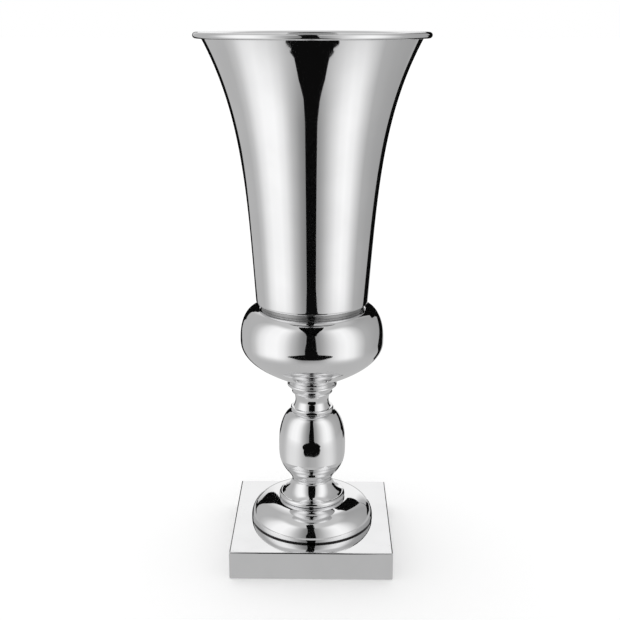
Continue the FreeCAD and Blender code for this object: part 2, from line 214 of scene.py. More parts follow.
@dataclass(frozen=True)
class PolishedMetal(Finish):
    """Mirror finish of the plated metal, with a painted contact shadow, a near-black band at its foot, where
    it has one.
    """

    colour: Colour
    hazy_colour: Colour
    roughness: float
    hazy_roughness: float
    wave_height: float
    # level, height and colour of the painted contact shadow: a near-black band standing in for shade where
    # the dome meets the plinth
    contact_shadow_level: float | None = None
    contact_shadow_height: float = 0.0022
    contact_shadow_colour: Colour = (0.02, 0.02, 0.02)
    haze_scale: ClassVar[float] = 24.0
    haze_detail: ClassVar[float] = 3.0
    haze_range: ClassVar[Point] = (0.35, 0.7)
    wave_scale: ClassVar[float] = 9.0
    wave_detail: ClassVar[float] = 1.0

    def hand_polish(self) -> bpy.types.NodeTree:
        """Node group with the faint haze and waviness of hand-polished metal, built once.

        Returns:
            The group, with a haze mask and a normal as outputs.
        """
        group, new = shared_group("hand_polish", ("Wave Height",),
                                  {"Haze": "NodeSocketFloat", "Normal": "NodeSocketVector"})
        if new:
            graph = ShaderGraph(group)
            height = graph.node("NodeGroupInput").outputs["Wave Height"]
            noise = partial(graph.texture, "ShaderNodeTexNoise", "Fac")
            cloudy = noise(Scale=self.haze_scale, Detail=self.haze_detail)
            slow = noise(Scale=self.wave_scale, Detail=self.wave_detail)
            bump = graph.node("ShaderNodeBump", {"Height": slow, "Strength": 1.0, "Distance": height})
            haze = graph.remap(cloudy, self.haze_range)
            graph.node("NodeGroupOutput", {"Haze": haze, "Normal": bump.outputs["Normal"]})
        return group

    def inputs(self, graph: ShaderGraph) -> Inputs:
        """Adds colour, roughness and waviness.

        Args:
            graph: Nodes of the material.

        Returns:
            Inputs of its Principled shader.
        """
        polish = graph.node("ShaderNodeGroup", node_tree=self.hand_polish())
        graph.feed(polish, {"Wave Height": self.wave_height})
        haze = polish.outputs["Haze"]
        colour = graph.blend(haze, rgba(self.colour), rgba(self.hazy_colour))
        # painted shade: a near-black band at the foot stands in for the contact shadow between dome and
        # plinth
        if self.contact_shadow_level is not None:
            contact_shadow_band = (self.contact_shadow_level + self.contact_shadow_height / 2, self.contact_shadow_level + self.contact_shadow_height)
            colour = graph.blend(graph.remap(graph.split()[2], contact_shadow_band), rgba(self.contact_shadow_colour), colour)
        roughness = graph.remap(haze, (0.0, 1.0), (self.roughness, self.hazy_roughness))
        return {"Base Color": colour, "Roughness": roughness, "Metallic": 1.0,
                "Normal": polish.outputs["Normal"]}


@dataclass(frozen=True)
class ZincSteel(Finish):
    """Dull zinc plate of the hidden hardware."""

    name: str = "zinc_plate"
    colour: Colour = (0.55, 0.55, 0.56)
    dull_colour: Colour = (0.42, 0.42, 0.43)
    spangle_scale: float = 260.0
    roughness: float = 0.38

    def inputs(self, graph: ShaderGraph) -> Inputs:
        """Adds the spangled colour.

        Args:
            graph: Nodes of the material.

        Returns:
            Inputs of its Principled shader.
        """
        spangle = graph.texture("ShaderNodeTexVoronoi", "Distance", Scale=self.spangle_scale)
        colour = graph.blend(spangle, rgba(self.colour), rgba(self.dull_colour))
        return {"Base Color": colour, "Roughness": self.roughness, "Metallic": 1.0}


@dataclass(frozen=True)
class Sheet(Finish):
    """Matt sheet goods: rubber, hardboard or felt, with a fine grain."""

    colour: Colour
    fleck_colour: Colour
    roughness: float
    grain_scale: float
    grain_height: float
    grain_detail: ClassVar[float] = 6.0
    fleck_range: ClassVar[Point] = (0.42, 0.62)

    def grain(self) -> bpy.types.NodeTree:
        """Node group with the fine grain of sheet goods, built once.

        Returns:
            The group, with a mask of flecks and a normal as outputs.
        """
        group, new = shared_group("sheet_grain", ("Scale", "Height"),
                                  {"Flecks": "NodeSocketFloat", "Normal": "NodeSocketVector"})
        if new:
            graph = ShaderGraph(group)
            given = graph.node("NodeGroupInput").outputs
            noise = graph.texture("ShaderNodeTexNoise", "Fac", Scale=given["Scale"], Detail=self.grain_detail)
            bump = graph.node("ShaderNodeBump", {"Height": noise, "Distance": given["Height"]})
            flecks = graph.remap(noise, self.fleck_range)
            graph.node("NodeGroupOutput", {"Flecks": flecks, "Normal": bump.outputs["Normal"]})
        return group

    def inputs(self, graph: ShaderGraph) -> Inputs:
        """Adds the flecked colour and the grain.

        Args:
            graph: Nodes of the material.

        Returns:
            Inputs of its Principled shader.
        """
        grain = graph.node("ShaderNodeGroup", node_tree=self.grain())
        graph.feed(grain, {"Scale": self.grain_scale, "Height": self.grain_height})
        colour = graph.blend(grain.outputs["Flecks"], rgba(self.colour), rgba(self.fleck_colour))
        return {"Base Color": colour, "Roughness": self.roughness, "Normal": grain.outputs["Normal"]}


MIRROR = PolishedMetal("mirror_nickel", (0.86, 0.86, 0.865), (0.83, 0.83, 0.835), 0.035, 0.06, 0.00004)
# mirror metal with a painted contact shadow at its foot, level with the plinth's top
CONTACT_SHADOW_MIRROR = replace(MIRROR, name="mirror_nickel_painted_contact_shadow", contact_shadow_level=0.034)
BRIGHT = PolishedMetal("bright_nickel", (0.78, 0.78, 0.8), (0.74, 0.74, 0.76), 0.08, 0.12, 0.00002)
# darker copy of the mirror metal: painted shade on the seat ring down in the groove under the bowl
SHADED_GROOVE_METAL = PolishedMetal("groove_nickel_painted_shade", (0.38, 0.38, 0.38), (0.32, 0.32, 0.32), 0.12, 0.18, 0.00002)
ZINC = ZincSteel()
RUBBER = Sheet("seal_rubber", (0.03, 0.03, 0.03), (0.045, 0.045, 0.045), 0.75, 900.0, 0.00003)
BOARD = Sheet("hardboard", (0.36, 0.24, 0.14), (0.45, 0.32, 0.2), 0.8, 420.0, 0.0001)
FELT = Sheet("felt", (0.03, 0.03, 0.034), (0.07, 0.07, 0.075), 0.95, 1300.0, 0.0003)
ZINC_NODES = ("rim_wire", "spacer_tube", "clamp_plate", "tie_rod", "lower_washer", "spring_washer",
              "hex_nut", "board_screws")
HARDWARE = dict.fromkeys(ZINC_NODES, ZINC) | {"base_board": BOARD, "felt_pad": FELT}


# Modelling with Blender's own operators


def deselect_everything() -> None:
    """Goes to object mode with nothing selected."""
    if bpy.context.object and bpy.context.object.mode != "OBJECT":
        bpy.ops.object.mode_set(mode="OBJECT")
    bpy.ops.object.select_all(action="DESELECT")


def edit_everything() -> None:
    """Enters edit mode with the whole of the active object selected."""
    bpy.ops.object.mode_set(mode="EDIT")
    bpy.ops.mesh.select_all(action="SELECT")


def end_edit() -> None:
    """Turns all faces outward, leaves edit mode and smooths the shading."""
    bpy.ops.mesh.select_all(action="SELECT")
    bpy.ops.mesh.normals_make_consistent(inside=False)
    bpy.ops.object.mode_set(mode="OBJECT")
    bpy.ops.object.shade_smooth_by_angle(angle=SMOOTH_ANGLE)


def turn_outline(name: str, outline: Outline, steps: int) -> bpy.types.Object:
    """Draws an outline by extruding one vertex and turns it round the axis.

    Args:
        name: Name of the object.
        outline: Corners of the outline.
        steps: Number of segments round the axis.

    Returns:
        The finished object, at the origin.
    """
    deselect_everything()
    bpy.ops.mesh.primitive_plane_add(size=1.0)
    piece = bpy.context.object
    piece.name = name
    edit_everything()
    bpy.ops.mesh.select_mode(type="VERT")
    bpy.ops.mesh.merge(type="CENTER")
    bpy.ops.transform.translate(value=(outline[0][0], 0.0, outline[0][1]))
    for before, after in zip(outline, outline[1:]):
        move = (after[0] - before[0], 0.0, after[1] - before[1])
        bpy.ops.mesh.extrude_vertices_move(TRANSFORM_OT_translate={"value": move})
    bpy.ops.mesh.select_all(action="SELECT")
    bpy.ops.mesh.remove_doubles(threshold=SAME_PLACE)
    bpy.ops.object.mode_set(mode="OBJECT")
    lathe = piece.modifiers.new("lathe", "SCREW")
    lathe.steps = lathe.render_steps = steps
    lathe.use_merge_vertices = True
    lathe.merge_threshold = SAME_PLACE
    bpy.ops.object.modifier_apply(modifier=lathe.name)
    edit_everything()
    bpy.ops.mesh.remove_doubles(threshold=SAME_PLACE)
    end_edit()
    return piece


def on_circle(centre: Point, radius: float, angle: float) -> Point:
    """Point of a circle at an angle in degrees from the outward direction."""
    turn = math.radians(angle)
    return centre[0] + radius * math.cos(turn), centre[1] + radius * math.sin(turn)


def bend(centre: Point, radius: float, start: float, end: float, spans: int) -> Outline:
    """Points along an arc, from its first angle to its last, in degrees."""
    return [on_circle(centre, radius, start + (end - start) * step / spans) for step in range(spans + 1)]


def inset(path: Outline, distance: float) -> Outline:
    """Path moved sideways to its left.

    Args:
        path: Points in order.
        distance: How far to move.

    Returns:
        The moved points.
    """
    moved = []
    for index, (radius, height) in enumerate(path):
        before = path[max(index - 1, 0)]
        after = path[min(index + 1, len(path) - 1)]
        length = math.dist(before, after)
        moved.append((radius - (after[1] - before[1]) / length * distance,
                      height + (after[0] - before[0]) / length * distance))
    return moved


def softened(corners: Outline, radius: float, spans: int = 4) -> Outline:
    """Closed outline with its corners rounded.

    Args:
        corners: Corners in order.
        radius: Distance from a corner at which its rounding starts.
        spans: Number of spans in a rounding.

    Returns:
        Points of the rounded outline.
    """
    points = []
    for index, corner in enumerate(corners):
        here = Vector(corner)
        arms = []
        for other in (corners[index - 1], corners[(index + 1) % len(corners)]):
            arm = Vector(other) - here
            arms.append(arm.normalized() * min(radius, arm.length / ROUNDING_LIMIT))
        for step in range(spans + 1):
            t = step / spans
            place = here + arms[0] * (1 - t) ** 2 + arms[1] * t ** 2
            points.append((place.x, place.y))
    return points


@cache
def cad_box(node: str) -> tuple[Vector, Vector]:
    """Lowest and highest corner of a CAD node, measured once."""
    low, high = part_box(node)
    return Vector(low), Vector(high)


def levels(node: str) -> Point:
    """Heights of a CAD node's lower and upper side."""
    low, high = cad_box(node)
    return low.z, high.z


def shoulder(foot: Point, top: Point, power: float, spans: int) -> Outline:
    """Points along a quarter of a superellipse that rises upright and ends level.

    Args:
        foot: Where it starts.
        top: Where it ends, further in.
        power: Power of the superellipse: 2 for a plain ellipse, more for a squarer one.
        spans: Number of spans.

    Returns:
        Points from the foot to the top.
    """
    points = []
    for step in range(spans + 1):
        turn = math.pi / 2 * step / spans
        out = max(math.cos(turn), 0.0) ** (2 / power)
        up = math.sin(turn) ** (2 / power)
        points.append((top[0] + (foot[0] - top[0]) * out, foot[1] + (top[1] - foot[1]) * up))
    return points


@dataclass
class Piece:
    """A visible piece that stands for one CAD node."""

    node: str
    slot: Slot = Slot.MIRROR_METAL
    finish: Finish = MIRROR

    def model(self) -> bpy.types.Object:
        """Models the piece at its place, without its finish."""
        raise NotImplementedError

    def build(self) -> bpy.types.Object:
        """Models the piece, dresses it and ties it to the frame.

        Returns:
            The finished object.
        """
        piece = self.model()
        piece.data.materials.clear()
        piece.data.materials.append(self.finish.material())
        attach(piece, "root")
        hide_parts(self.node)
        LOG.info("%s: %d faces", piece.name, len(piece.data.polygons))
        return piece


@dataclass
class TurnedPiece(Piece):
    """A piece spun or turned round the axis."""

    steps: int = 192
    hole_radius: float = 0.0046

    def outline(self) -> Outline:
        """Closed outline of the piece, in radius and height."""
        raise NotImplementedError

    def model(self) -> bpy.types.Object:
        """Turns the outline."""
        outline = self.outline()
        return turn_outline(self.node + "_turned", outline + outline[:1], self.steps)


@dataclass
class TrumpetBowl(TurnedPiece):
    """Spun bowl: floor, corner, accelerating flare, lip bend and rolled rim."""

    node: str = "trumpet_bowl"
    steps: int = 256
    wall: float = 0.0012
    foot_radius: float = 0.0653
    corner_radius: float = 0.0042
    rim_radius: float = 0.1293
    wire_radius: float = 0.0019
    wire_clearance: float = 0.0001
    bend_radius: float = 0.011
    bend_start_angle: float = 27.5
    bend_end_angle: float = 65.0
    curl_end_angle: float = 125.0
    straight_share: float = 0.355
    flare_power: float = 3.75
    wall_spans: int = 110
    bend_spans: int = 10
    corner_inner_spans: int = 8
    curl_inner_spans: int = 24
    curl_outer_spans: int = 32

    def outline(self) -> Outline:
        """Closed outline of the sheet.

        Returns:
            Its corners, in radius and height.
        """
        base, rim = levels(self.node)
        curl_inner = self.wire_radius + self.wire_clearance
        curl_outer = curl_inner + self.wall
        wire_centre = (self.rim_radius - curl_outer, rim - curl_outer)
        wall_angle, lip_angle = 180 - self.bend_start_angle, 180 - self.bend_end_angle
        bend_centre = on_circle(wire_centre, curl_inner - self.bend_radius, lip_angle)
        wall_top = on_circle(bend_centre, self.bend_radius, wall_angle)
        wall_base = base + self.corner_radius
        outside = []
        for step in range(self.wall_spans + 1):
            t = step / self.wall_spans
            share = self.straight_share * t + (1 - self.straight_share) * t ** self.flare_power
            outside.append((self.foot_radius + (wall_top[0] - self.foot_radius) * share,
                            wall_base + (wall_top[1] - wall_base) * t))
        corner = (self.foot_radius - self.corner_radius, wall_base)
        bends, curl_end = self.bend_spans, -self.curl_end_angle
        points = [(self.hole_radius, base)]
        points += bend(corner, self.corner_radius, -90, 0, bends)[:-1]
        points += outside
        points += bend(bend_centre, self.bend_radius, wall_angle, lip_angle, bends)[1:]
        points += bend(wire_centre, curl_inner, lip_angle, curl_end, self.curl_inner_spans)[1:]
        points += bend(wire_centre, curl_outer, curl_end, lip_angle, self.curl_outer_spans)
        points += bend(bend_centre, self.bend_radius + self.wall, lip_angle, wall_angle, bends)[1:]
        points += inset(outside, self.wall)[-2:0:-1]
        points += bend(corner, self.corner_radius - self.wall, 0, -90, self.corner_inner_spans)
        points += [(self.hole_radius, base + self.wall)]
        return points


@dataclass
class SeatRing(TurnedPiece):
    """Disc in the groove under the bowl, with its centring spigot."""

    node: str = "seat_ring"
    # darker metal: painted shade for the groove
    finish: Finish = SHADED_GROOVE_METAL
    radius: float = 0.06
    height: float = 0.0043
    spigot_radius: float = 0.0548
    spigot_wall: float = 0.005
    softening: float = 0.0006

    def outline(self) -> Outline:
        """Closed outline of disc and spigot.

        Returns:
            Its corners, in radius and height.
        """
        base, top = levels(self.node)
        bore = self.spigot_radius - self.spigot_wall
        disc = top - self.height
        corners = [(bore, base), (self.spigot_radius, base), (self.spigot_radius, disc),
                   (self.radius, disc), (self.radius, top), (self.hole_radius, top),
                   (self.hole_radius, disc), (bore, disc)]
        return softened(corners, self.softening)


@dataclass
class Knop(TurnedPiece):
    """Spun hollow bulb with a flat floor and an open top lip."""

    node: str = "knop_shell"
    steps: int = 256
    wall: float = 0.0016
    throat_radius: float = 0.025
    radius: float = 0.084
    equator_share: float = 0.575
    lip_radius: float = 0.06
    lip_width: float = 0.005
    shoulder_power: float = 2.3
    underside_power: float = 1.18
    spans: int = 60

    def outline(self) -> Outline:
        """Closed outline of the bulb's sheet.

        Returns:
            Its corners, in radius and height.
        """
        base, top = levels(self.node)
        equator = base + (top - base) * self.equator_share
        outside = []
        for step in range(self.spans):
            down = 1 - step / self.spans
            share = math.cos(math.pi / 2 * down ** self.underside_power)
            outside.append((self.throat_radius + (self.radius - self.throat_radius) * share,
                            equator - (equator - base) * down))
        outside += shoulder((self.radius, equator), (self.lip_radius, top), self.shoulder_power, self.spans)
        inside = inset(outside, self.wall)
        inside[0] = (self.throat_radius - self.wall, base + self.wall)
        inside[-1] = (self.lip_radius, top - self.wall)
        mouth = self.lip_radius - self.lip_width
        return ([(self.hole_radius, base)] + outside + [(mouth, top), (mouth, top - self.wall)]
                + inside[::-1] + [(self.hole_radius, base + self.wall)])


@dataclass
class StemCollar(TurnedPiece):
    """Turned collar: foot ring, hollow neck, small bead and wide bead."""

    node: str = "stem_collar"
    spigot_radius: float = 0.012
    spigot_length: float = 0.004
    foot_radius: float = 0.0255
    foot_height: float = 0.005
    foot_edge: float = 0.0014
    cove_foot_radius: float = 0.0222
    neck_radius: float = 0.0199
    cove_height: float = 0.018
    bead_radius: float = 0.0232
    bead_height: float = 0.0018
    rise_height: float = 0.0064
    rise_radius: float = 0.0268
    wide_bead_radius: float = 0.0294
    wide_bead_height: float = 0.0034
    throat_radius: float = 0.025
    edge_spans: int = 8
    cove_spans: int = 28
    bead_spans: int = 12
    wide_bead_spans: int = 16

    def outline(self) -> Outline:
        """Closed outline of the collar.

        Returns:
            Its corners, in radius and height.
        """
        spigot_base, top = levels(self.node)
        base = spigot_base + self.spigot_length
        foot_top = base + self.foot_height
        cove_top = foot_top + self.cove_height
        bead_top = cove_top + self.bead_height
        rise_top = bead_top + self.rise_height
        edge, bead, wide = self.foot_edge, self.bead_height / 2, self.wide_bead_height / 2
        sagitta = self.cove_foot_radius - self.neck_radius
        cove_radius = (sagitta ** 2 + (self.cove_height / 2) ** 2) / (2 * sagitta)
        cove_centre = (self.neck_radius + cove_radius, foot_top + self.cove_height / 2)
        sweep = math.degrees(math.asin(self.cove_height / 2 / cove_radius))
        points = [(radius, spigot_base) for radius in (self.hole_radius, self.spigot_radius)]
        points += [(self.spigot_radius, base)]
        points += bend((self.foot_radius - edge, base + edge), edge, -90, 0, self.edge_spans)
        points += bend((self.foot_radius - edge, foot_top - edge), edge, 0, 90, self.edge_spans)
        points += bend(cove_centre, cove_radius, 180 + sweep, 180 - sweep, self.cove_spans)
        points += bend((self.bead_radius, cove_top + bead), bead, -90, 90, self.bead_spans)
        points += [(self.rise_radius, rise_top)]
        points += bend((self.wide_bead_radius - wide, rise_top + wide), wide, -90, 90, self.wide_bead_spans)
        points += [(self.throat_radius, top), (self.hole_radius, top)]
        return points


@dataclass
class Baluster(TurnedPiece):
    """Hollow baluster, widest a little above its middle."""

    node: str = "baluster"
    wall: float = 0.003
    end_wall: float = 0.004
    lip_radius: float = 0.023
    radius: float = 0.0399
    neck_radius: float = 0.0243
    belly_share: float = 0.55
    taper_power: float = 2.0
    lower_bore: float = 0.0142
    upper_bore: float = 0.0122
    spans: int = 56

    def side(self, base: float, top: float, depth: float) -> Outline:
        """Points up one side of the wall, closer together near the top.

        Args:
            base: Lowest height.
            top: Highest height.
            depth: Distance in from the outside.

        Returns:
            The points in rising order.
        """
        low, high = levels(self.node)
        belly = low + (high - low) * self.belly_share
        points = []
        for step in range(self.spans):
            height = base + (belly - base) * step / self.spans
            down = (belly - height) / (belly - low)
            share = (1 + math.cos(math.pi * down ** self.taper_power)) / 2
            points.append((self.neck_radius + (self.radius - self.neck_radius) * share - depth, height))
        for step in range(self.spans + 1):
            height = belly + (top - belly) * math.sin(math.pi / 2 * step / self.spans)
            up = (height - belly) / (high - belly)
            share = math.sqrt(max(1 - up * up, 0.0))
            points.append((self.lip_radius + (self.radius - self.lip_radius) * share - depth, height))
        return points

    def outline(self) -> Outline:
        """Closed outline of the casting.

        Returns:
            Its corners, in radius and height.
        """
        base, top = levels(self.node)
        hollow_base, hollow_top = base + self.end_wall, top - self.end_wall
        return ([(self.lower_bore, base)] + self.side(base, top, 0.0)
                + [(self.upper_bore, top), (self.upper_bore, hollow_top)]
                + self.side(hollow_base, hollow_top, self.wall)[::-1] + [(self.lower_bore, hollow_base)])


@dataclass
class StemSpool(TurnedPiece):
    """Flared spool with a step and a wide rounded ring at its foot."""

    node: str = "stem_spool"
    spigot_length: float = 0.004
    spigot_radius: float = 0.014
    neck_radius: float = 0.0243
    flare_mid_radius: float = 0.0284
    flare_mid_share: float = 0.58
    flare_foot_radius: float = 0.0365
    ring_radius: float = 0.04
    ring_height: float = 0.0065
    boss_radius: float = 0.009
    recess_radius: float = 0.031
    recess_depth: float = 0.005
    flare_spans: int = 30
    ring_spans: int = 20

    def flare(self, low: float, high: float) -> Outline:
        """Points of the flared side, on the circle through its foot, middle and neck.

        Args:
            low: Height of the foot of the flare.
            high: Height of the neck.

        Returns:
            Points from the foot up to the neck.
        """
        foot = Vector((self.flare_foot_radius, low))
        middle = Vector((self.flare_mid_radius, low + (high - low) * (1 - self.flare_mid_share)))
        neck = Vector((self.neck_radius, high))
        first, second = middle - foot, neck - foot
        cross = 2 * (first.x * second.y - first.y * second.x)
        centre = foot + Vector((second.y * first.length_squared - first.y * second.length_squared,
                                first.x * second.length_squared - second.x * first.length_squared)) / cross
        start = math.degrees(math.atan2(foot.y - centre.y, foot.x - centre.x)) % FULL_TURN
        end = math.degrees(math.atan2(neck.y - centre.y, neck.x - centre.x)) % FULL_TURN
        return bend((centre.x, centre.y), (foot - centre).length, start, end, self.flare_spans)

    def outline(self) -> Outline:
        """Closed outline of the spool.

        Returns:
            Its corners, in radius and height.
        """
        base, spigot_top = levels(self.node)
        neck = spigot_top - self.spigot_length
        ring_top, half = base + self.ring_height, self.ring_height / 2
        points = [(self.recess_radius, base)]
        points += bend((self.ring_radius - half, base + half), half, -90, 90, self.ring_spans)
        points += self.flare(ring_top, neck)
        hollow = base + self.recess_depth
        points += [(self.spigot_radius, neck), (self.spigot_radius, spigot_top),
                   (self.hole_radius, spigot_top), (self.hole_radius, base), (self.boss_radius, base),
                   (self.boss_radius, hollow), (self.recess_radius, hollow)]
        return points


@dataclass
class FootDome(TurnedPiece):
    """Spun cushion-shaped foot with an in-turned hem."""

    node: str = "foot_dome"
    steps: int = 256
    # mirror metal with a painted contact shadow at its foot
    finish: Finish = CONTACT_SHADOW_MIRROR
    wall: float = 0.0016
    radius: float = 0.074
    crown_radius: float = 0.038
    edge_height: float = 0.0016
    hem_width: float = 0.006
    power: float = 2.2
    spans: int = 60

    def outline(self) -> Outline:
        """Closed outline of the dome's sheet.

        Returns:
            Its corners, in radius and height.
        """
        base, top = levels(self.node)
        edge_top = base + self.edge_height
        outside = shoulder((self.radius, edge_top), (self.crown_radius, top), self.power, self.spans)
        inside = inset(outside, self.wall)
        inside[0] = (self.radius - self.wall, edge_top)
        inside[-1] = (self.crown_radius, top - self.wall)
        hem = self.radius - self.hem_width
        hole = [(self.hole_radius, top), (self.hole_radius, top - self.wall)]
        return [(hem, base), (self.radius, base)] + outside + hole + inside[::-1] + [(hem, edge_top)]


@dataclass
class FlatRing(TurnedPiece):
    """Washer or seal on the floor of the bowl, as wide as its CAD node."""

    steps: int = 96
    slot: Slot = Slot.BRIGHT_STEEL
    finish: Finish = BRIGHT
    softening: float = 0.0004

    def outline(self) -> Outline:
        """Closed outline of the ring.

        Returns:
            Its corners, in radius and height.
        """
        base, top = levels(self.node)
        radius = cad_box(self.node)[1].x
        corners = [(self.hole_radius, base), (radius, base), (radius, top), (self.hole_radius, top)]
        return softened(corners, self.softening)


@dataclass
class CapNut(Piece):
    """Domed nut on the floor of the bowl."""

    node: str = "cap_nut"
    slot: Slot = Slot.BRIGHT_STEEL
    finish: Finish = BRIGHT
    across_flats: float = 0.013
    hex_height: float = 0.007
    dome_radius: float = 0.0062
    dome_segments: int = 48
    dome_rings: int = 24
    bevel: float = 0.0004
    bevel_spans: int = 3

    def model(self) -> bpy.types.Object:
        """Models the hexagon and the dome.

        Returns:
            The nut, without its finish.
        """
        base, top = levels(self.node)
        deselect_everything()
        bpy.ops.mesh.primitive_cylinder_add(vertices=6, radius=self.across_flats / math.sqrt(3),
                                            depth=self.hex_height, rotation=(0.0, 0.0, math.pi / 6))
        piece = bpy.context.object
        piece.name = "cap_nut_domed"
        bpy.ops.object.transform_apply(location=True, rotation=True, scale=True)
        edit_everything()
        bpy.ops.mesh.bevel(offset=self.bevel, segments=self.bevel_spans)
        bpy.ops.mesh.select_all(action="SELECT")
        bpy.ops.transform.translate(value=(0.0, 0.0, base + self.hex_height / 2))
        bpy.ops.mesh.primitive_uv_sphere_add(
            segments=self.dome_segments, ring_count=self.dome_rings, radius=self.dome_radius,
            location=(0.0, 0.0, top - self.dome_radius))
        end_edit()
        return piece


@dataclass
class Plinth(Piece):
    """Hollow square plinth with softly rounded edges, open below."""

    node: str = "plinth_shell"
    wall: float = 0.003
    edge_radius: float = 0.0016
    edge_spans: int = 6

    def model(self) -> bpy.types.Object:
        """Models the casting from a cube: its underside is opened and its other edges rounded.

        Returns:
            The plinth, without its finish.
        """
        low, high = cad_box(self.node)
        deselect_everything()
        bpy.ops.mesh.primitive_cube_add(size=1.0)
        piece = bpy.context.object
        piece.name = "plinth_casting"
        edit_everything()
        bpy.ops.transform.resize(value=high - low)
        bpy.ops.transform.translate(value=(low + high) / 2)
        self.select(piece, "FACE", "polygons", lambda face: face.normal.z < FACES_DOWN)
        bpy.ops.mesh.delete(type="FACE")
        self.select(piece, "EDGE", "edges", lambda edge: max(
            piece.data.vertices[index].co.z for index in edge.vertices) > low.z + SAME_PLACE)
        bpy.ops.mesh.bevel(offset=self.edge_radius, segments=self.edge_spans)
        bpy.ops.object.mode_set(mode="OBJECT")
        shell = piece.modifiers.new("wall", "SOLIDIFY")
        shell.thickness = self.wall
        shell.offset = -1.0
        bpy.ops.object.modifier_apply(modifier=shell.name)
        bpy.ops.object.shade_smooth_by_angle(angle=SMOOTH_ANGLE)
        flat = piece.modifiers.new("flat_sides", "WEIGHTED_NORMAL")
        flat.keep_sharp = True
        bpy.ops.object.modifier_apply(modifier=flat.name)
        return piece

    def select(self, piece: bpy.types.Object, kind: str, items: str, chosen: Callable[..., bool]) -> None:
        """Selects some parts of the mesh.

        Args:
            piece: The piece, in edit mode.
            kind: Blender's name of the selection mode.
            items: Name of the mesh's list of such parts.
            chosen: Says of a part whether it is selected.
        """
        bpy.ops.mesh.select_mode(type=kind)
        bpy.ops.mesh.select_all(action="DESELECT")
        bpy.ops.object.mode_set(mode="OBJECT")
        for item in getattr(piece.data, items):
            item.select = chosen(item)
        bpy.ops.object.mode_set(mode="EDIT")


# Studio


class Shape(Enum):
    """How a card lies.

    The first number of each of its rows is a height, for an overhead card a Y, for a level
    one or a shelf a radius. The other two are its left and right side, or its first and last
    direction in degrees from the front, positive to the right.
    """

    UPRIGHT = "flat, between the vase and the camera"
    OVERHEAD = "flat and level"
    CURVED = "upright and curved round the vase"
    LEVEL = "level round the vase"
    SHELF = "level round the vase, and clear from below"


class Look(Enum):
    """Looks of the cards."""

    BLACK = "black"
    STEM_LIGHT = "stem_light"


@dataclass(frozen=True)
class Card:
    """A card that only the metal reflects.

    The place is its distance in front of the vase, its height, or its distance from the axis.
    Where CAD nodes are named, only reflections that start at their heights show the card.
    """

    name: str
    shape: Shape
    place: float
    rows: tuple[Row, ...]
    seen_by: Nodes = ()
    look: Look = Look.BLACK
    arc_spans: int = 24

    def points(self, first: float, start: float, end: float) -> list[Vector]:
        """Points of one row.

        Args:
            first: First number of the row.
            start: Its left side or first direction.
            end: Its right side or last direction.

        Returns:
            The points, in an order that turns the face of a shelf up.
        """
        if self.shape in (Shape.UPRIGHT, Shape.OVERHEAD):
            y, z = (-self.place, first) if self.shape is Shape.UPRIGHT else (first, self.place)
            return [Vector((side, y, z)) for side in (start, end)]
        radius, z = (self.place, first) if self.shape is Shape.CURVED else (first, self.place)
        if self.shape is Shape.SHELF:
            start, end = end, start
        spans = self.arc_spans
        turns = [math.radians(start + (end - start) * step / spans) for step in range(spans + 1)]
        return [Vector((radius * math.sin(turn), -radius * math.cos(turn), z)) for turn in turns]

    def build(self) -> bpy.types.Object:
        """Makes the card as a strip of faces between its rows.

        Returns:
            The card, without a material.
        """
        rows = [self.points(*row) for row in self.rows]
        width = len(rows[0])
        faces = []
        for row in range(len(rows) - 1):
            for step in range(width - 1):
                first = row * width + step
                faces.append((first, first + 1, first + width + 1, first + width))
        mesh = bpy.data.meshes.new(self.name)
        mesh.from_pydata([point for row in rows for point in row], [], faces)
        strip = bpy.data.objects.new(self.name, mesh)
        bpy.context.collection.objects.link(strip)
        return strip


